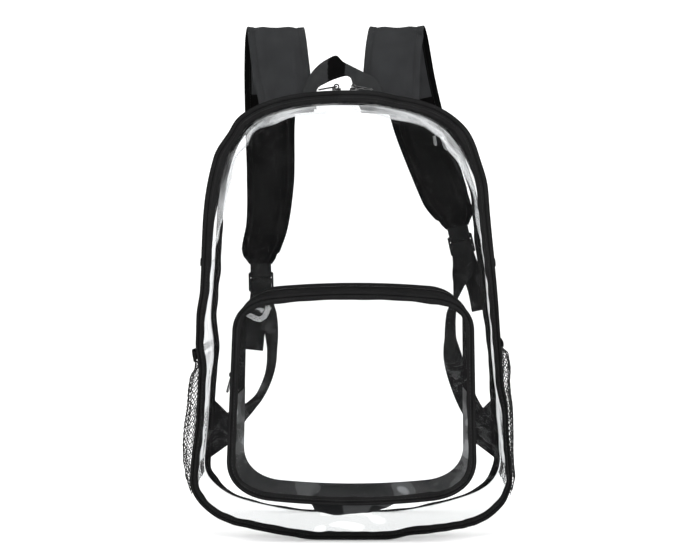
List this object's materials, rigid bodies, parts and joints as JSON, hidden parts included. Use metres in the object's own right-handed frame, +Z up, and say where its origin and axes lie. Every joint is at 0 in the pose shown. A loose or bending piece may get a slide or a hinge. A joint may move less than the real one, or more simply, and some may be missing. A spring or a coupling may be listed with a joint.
{
  "type": "clear pvc backpack",
  "caption": "Clear PVC backpack with black bound seams, an arched main zip, a zipped front pocket, net side pockets, padded shoulder straps and a webbing haul handle.",
  "frame": {"origin": "middle of the base on the surface the bag stands on, midway between the front and back seams", "axes": "+Z up, -Y to the front with the zipped pocket, +X to the right seen from the front"},
  "size_m": [0.3283, 0.2503, 0.5055],
  "materials": {
    "clear_pvc": "clear glossy soft PVC sheet",
    "bound_fabric": "black woven binding tape and lining cloth",
    "pad_fabric": "dark grey woven cloth over foam, bound at the edges",
    "black_webbing": "black ribbed webbing",
    "black_net": "black open knitted net",
    "black_nylon": "black moulded nylon, satin",
    "black_metal": "black lacquered zip slider"
  },
  "bodies": {
    "bag": {"front_panel": "clear_pvc", "back_panel": "clear_pvc", "binding_front": "bound_fabric", "binding_back": "bound_fabric", "gusset_bottom": "clear_pvc", "gusset_right": "clear_pvc", "gusset_left": "clear_pvc", "gusset_top": "clear_pvc", "zip_tape_front": "bound_fabric", "zip_tape_rear": "bound_fabric", "zip_coil": "black_nylon", "zip_end_right": "bound_fabric", "zip_end_left": "bound_fabric", "slider_left": "black_metal", "slider_right": "black_metal", "pocket_face": "clear_pvc", "pocket_binding": "bound_fabric", "pocket_gusset": "bound_fabric", "pocket_zip_rear": "bound_fabric", "pocket_zip_front": "bound_fabric", "pocket_zip_coil": "black_nylon", "pocket_slider": "black_metal", "mesh_pocket_right": "black_net", "mesh_rim_right": "bound_fabric", "mesh_pocket_left": "black_net", "mesh_rim_left": "bound_fabric", "strap_pad_left": "pad_fabric", "buckle_loop_left": "black_webbing", "ladder_lock_left": "black_nylon", "strap_webbing_left": "black_webbing", "anchor_tab_left": "bound_fabric", "strap_pad_right": "pad_fabric", "buckle_loop_right": "black_webbing", "ladder_lock_right": "black_nylon", "strap_webbing_right": "black_webbing", "anchor_tab_right": "bound_fabric", "haul_handle": "black_webbing"},
    "main_pull_left": {"pull_left": "black_metal"},
    "main_pull_right": {"pull_right": "black_metal"},
    "front_pocket_pull": {"pocket_pull": "black_metal"}
  },
  "joints": [
    {"name": "main_pull_left_swing", "type": "hinge", "parent": "bag", "child": "main_pull_left", "pos_m": [-0.01304, -0.0482, 0.43498], "axis": [0, 1, 0], "range_deg": [0, 100]},
    {"name": "main_pull_right_swing", "type": "hinge", "parent": "bag", "child": "main_pull_right", "pos_m": [0.00401, -0.0482, 0.4352], "axis": [0, -1, 0], "range_deg": [0, 100]},
    {"name": "pocket_pull_swing", "type": "hinge", "parent": "bag", "child": "front_pocket_pull", "pos_m": [-0.11156, -0.10251, 0.16065], "axis": [0.2633, 0.9647, 0], "range_deg": [0, 134]}
  ]
}
